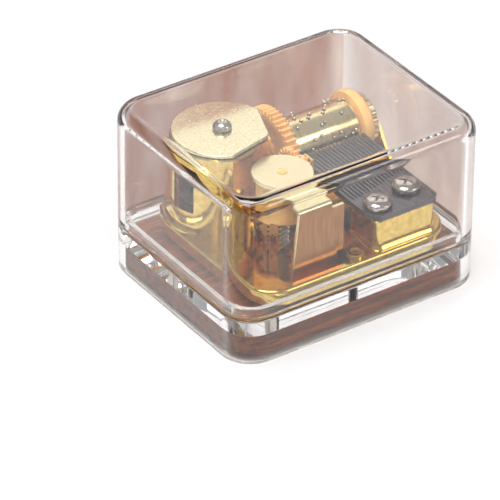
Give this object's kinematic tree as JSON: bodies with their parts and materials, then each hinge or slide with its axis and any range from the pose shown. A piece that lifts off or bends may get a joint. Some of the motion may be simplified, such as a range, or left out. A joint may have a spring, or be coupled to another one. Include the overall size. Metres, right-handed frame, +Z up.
{
  "type": "wind up music box",
  "caption": "Wind-up music box: a gold spring movement with a pinned drum, steel comb and air governor in a clear rounded case with a walnut base panel and a winding key underneath.",
  "frame": {"origin": "centre of the case's footprint, on the surface it stands on", "axes": "+X along the case's long side, towards the comb's short-tooth end; -Y to the front, where the comb's screws are; +Z up"},
  "size_m": [0.064, 0.0524, 0.0405],
  "materials": {
    "clear_acrylic": "clear polished acrylic",
    "walnut": "oiled walnut, satin",
    "gold_plate": "bright gold-coloured plating on a casting, polished",
    "pale_gold": "pale gold-coloured plating on sheet and tube, semi-bright",
    "nickel": "bright nickel plating on steel",
    "comb_steel": "hardened dark spring steel, fine ground",
    "spring_steel": "blued spring strip, lightly oiled",
    "tan_nylon": "moulded tan nylon, satin",
    "bright_steel": "turned bright steel"
  },
  "bodies": {
    "case_and_frame": {"base_tray": "clear_acrylic", "walnut_panel": "walnut", "case_screw_1": "nickel", "case_screw_2": "nickel", "case_screw_3": "nickel", "bedplate": "gold_plate", "barrel_plate": "pale_gold", "mainspring": "spring_steel", "comb": "comb_steel", "comb_screw_left": "nickel", "comb_screw_right": "nickel", "governor_bracket": "pale_gold", "spindle_bush": "tan_nylon", "drum_bracket": "gold_plate", "drum_bracket_screw_1": "nickel", "drum_bracket_screw_2": "nickel", "train_cock": "gold_plate", "governor_screw": "nickel"},
    "cover": {"top_cover": "clear_acrylic"},
    "drum_arbor": {"drum": "pale_gold", "drum_gear": "tan_nylon", "drive_pinion": "tan_nylon", "drum_collar": "tan_nylon", "drum_end_ring": "pale_gold", "drum_shaft": "bright_steel"},
    "spring_wheel": {"great_wheel": "tan_nylon"},
    "first_shaft": {"first_arbor": "bright_steel", "first_pinion": "tan_nylon", "first_wheel": "tan_nylon"},
    "second_shaft": {"second_arbor": "bright_steel", "second_pinion": "tan_nylon", "worm_wheel": "tan_nylon"},
    "governor": {"worm_spindle": "bright_steel", "governor_fly": "tan_nylon"},
    "winding": {"winding_arbor": "nickel", "ratchet_wheel": "bright_steel", "winding_key": "nickel"}
  },
  "joints": [
    {"name": "cover_lift", "type": "slide", "parent": "case_and_frame", "child": "cover", "axis": [0, 0, 1], "range_m": [0, 0.045]},
    {"name": "drum_spin", "type": "hinge", "parent": "case_and_frame", "child": "drum_arbor", "pos_m": [0.013, 0.013, 0.0215], "axis": [1, 0, 0], "continuous": true},
    {"name": "spring_wheel_spin", "type": "hinge", "parent": "case_and_frame", "child": "spring_wheel", "pos_m": [-0.0113, 0.0115, 0.0152], "axis": [0, 0, 1], "continuous": true},
    {"name": "first_shaft_spin", "type": "hinge", "parent": "case_and_frame", "child": "first_shaft", "pos_m": [0, 0.00176, 0.02369], "axis": [1, 0, 0], "continuous": true},
    {"name": "second_shaft_spin", "type": "hinge", "parent": "case_and_frame", "child": "second_shaft", "pos_m": [0, -0.00124, 0.01629], "axis": [1, 0, 0], "continuous": true},
    {"name": "governor_spin", "type": "hinge", "parent": "case_and_frame", "child": "governor", "pos_m": [-0.0073, -0.0054, 0.02], "axis": [0, 0, 1], "continuous": true},
    {"name": "winding_turn", "type": "hinge", "parent": "case_and_frame", "child": "winding", "pos_m": [-0.0113, 0.0115, 0.003], "axis": [0, 0, 1], "range_deg": [0, 1620]}
  ],
  "couplings": [
    {"joint": "spring_wheel_spin", "follows": "drum_spin", "ratio": 0.5},
    {"joint": "first_shaft_spin", "follows": "drum_spin", "ratio": -6},
    {"joint": "second_shaft_spin", "follows": "drum_spin", "ratio": 7.7647},
    {"joint": "governor_spin", "follows": "drum_spin", "ratio": 44}
  ]
}
